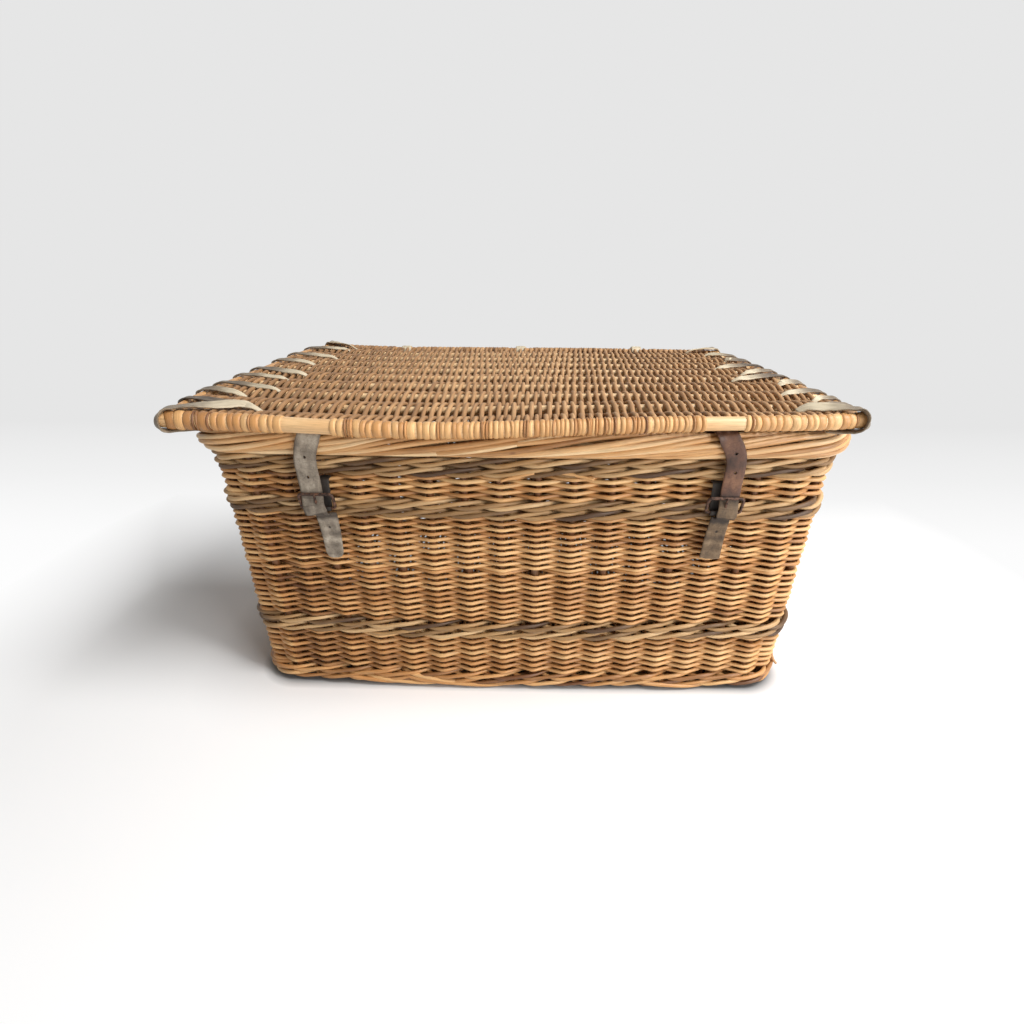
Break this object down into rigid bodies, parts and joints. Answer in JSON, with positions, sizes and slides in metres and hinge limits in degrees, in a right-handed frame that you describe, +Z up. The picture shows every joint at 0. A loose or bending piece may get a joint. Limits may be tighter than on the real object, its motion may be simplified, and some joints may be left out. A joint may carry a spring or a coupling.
{
  "type": "laundry hamper",
  "caption": "Rectangular woven willow hamper with a flat overhanging hinged lid, roped border, bow end handles and buckled leather straps.",
  "frame": {"origin": "on the floor under the middle of the whole hamper, lid and handles included", "axes": "+Z up, +X towards the hamper's right end as seen from its strapped front, -Y out of the strapped front"},
  "size_m": [0.838, 0.5719, 0.3809],
  "materials": {
    "willow": "satin, polished by handling",
    "weathered_willow": "dull, greyed",
    "lid_willow": "dull, worn",
    "rawhide": "dry, horny",
    "grey_leather": "dry, cracked",
    "brown_leather": "dull, worn",
    "iron": "rusted black iron wire"
  },
  "bodies": {
    "basket": {"base_mat": "willow", "base_sticks": "willow", "front_stakes": "willow", "back_stakes": "willow", "left_stakes": "willow", "right_stakes": "willow", "corner_stakes": "willow", "top_border": "willow", "upsett_weave": "willow", "main_weave_lower": "willow", "main_weave_upper": "willow", "upper_weave": "willow", "left_handle": "willow", "right_handle": "willow", "foot_wale": "weathered_willow", "lower_wale": "weathered_willow", "middle_wale": "weathered_willow", "top_wale": "weathered_willow", "left_hinge_loop": "rawhide", "middle_hinge_loop": "rawhide", "right_hinge_loop": "rawhide", "left_strap": "grey_leather", "left_chape": "grey_leather", "right_strap": "brown_leather", "right_chape": "brown_leather"},
    "lid": {"lid_front_rod": "lid_willow", "lid_back_rod": "lid_willow", "lid_sticks": "lid_willow", "lid_weave": "lid_willow", "front_rod_wrapping": "lid_willow", "back_rod_wrapping": "lid_willow", "left_lid_end_rod": "lid_willow", "right_lid_end_rod": "lid_willow", "left_lid_lacing": "rawhide", "right_lid_lacing": "rawhide"},
    "left_buckle": {"left_buckle_frame": "iron"},
    "left_prong": {"left_buckle_prong": "iron"},
    "left_tail": {"left_strap_tail": "grey_leather"},
    "right_buckle": {"right_buckle_frame": "iron"},
    "right_prong": {"right_buckle_prong": "iron"},
    "right_tail": {"right_strap_tail": "brown_leather"}
  },
  "joints": [
    {"name": "lid_hinge", "type": "hinge", "parent": "basket", "child": "lid", "pos_m": [0, 0.2753, 0.37], "axis": [-1, 0, 0], "range_deg": [0, 110]},
    {"name": "left_buckle_tilt", "type": "hinge", "parent": "basket", "child": "left_buckle", "pos_m": [-0.229, -0.25719, 0.267], "axis": [1, 0, 0], "range_deg": [0, 8]},
    {"name": "left_prong_lift", "type": "hinge", "parent": "left_buckle", "child": "left_prong", "pos_m": [-0.229, -0.25719, 0.267], "axis": [1, 0, 0], "range_deg": [0, 8]},
    {"name": "right_buckle_tilt", "type": "hinge", "parent": "basket", "child": "right_buckle", "pos_m": [0.229, -0.25719, 0.267], "axis": [1, 0, 0], "range_deg": [0, 8]},
    {"name": "right_prong_lift", "type": "hinge", "parent": "right_buckle", "child": "right_prong", "pos_m": [0.229, -0.25719, 0.267], "axis": [1, 0, 0], "range_deg": [0, 8]},
    {"name": "left_tail_flex", "type": "hinge", "parent": "basket", "child": "left_tail", "pos_m": [-0.2225, -0.25879, 0.2576], "axis": [-1, 0, 0], "range_deg": [0, 70]},
    {"name": "right_tail_flex", "type": "hinge", "parent": "basket", "child": "right_tail", "pos_m": [0.2225, -0.25879, 0.2576], "axis": [-1, 0, 0], "range_deg": [0, 70]}
  ]
}
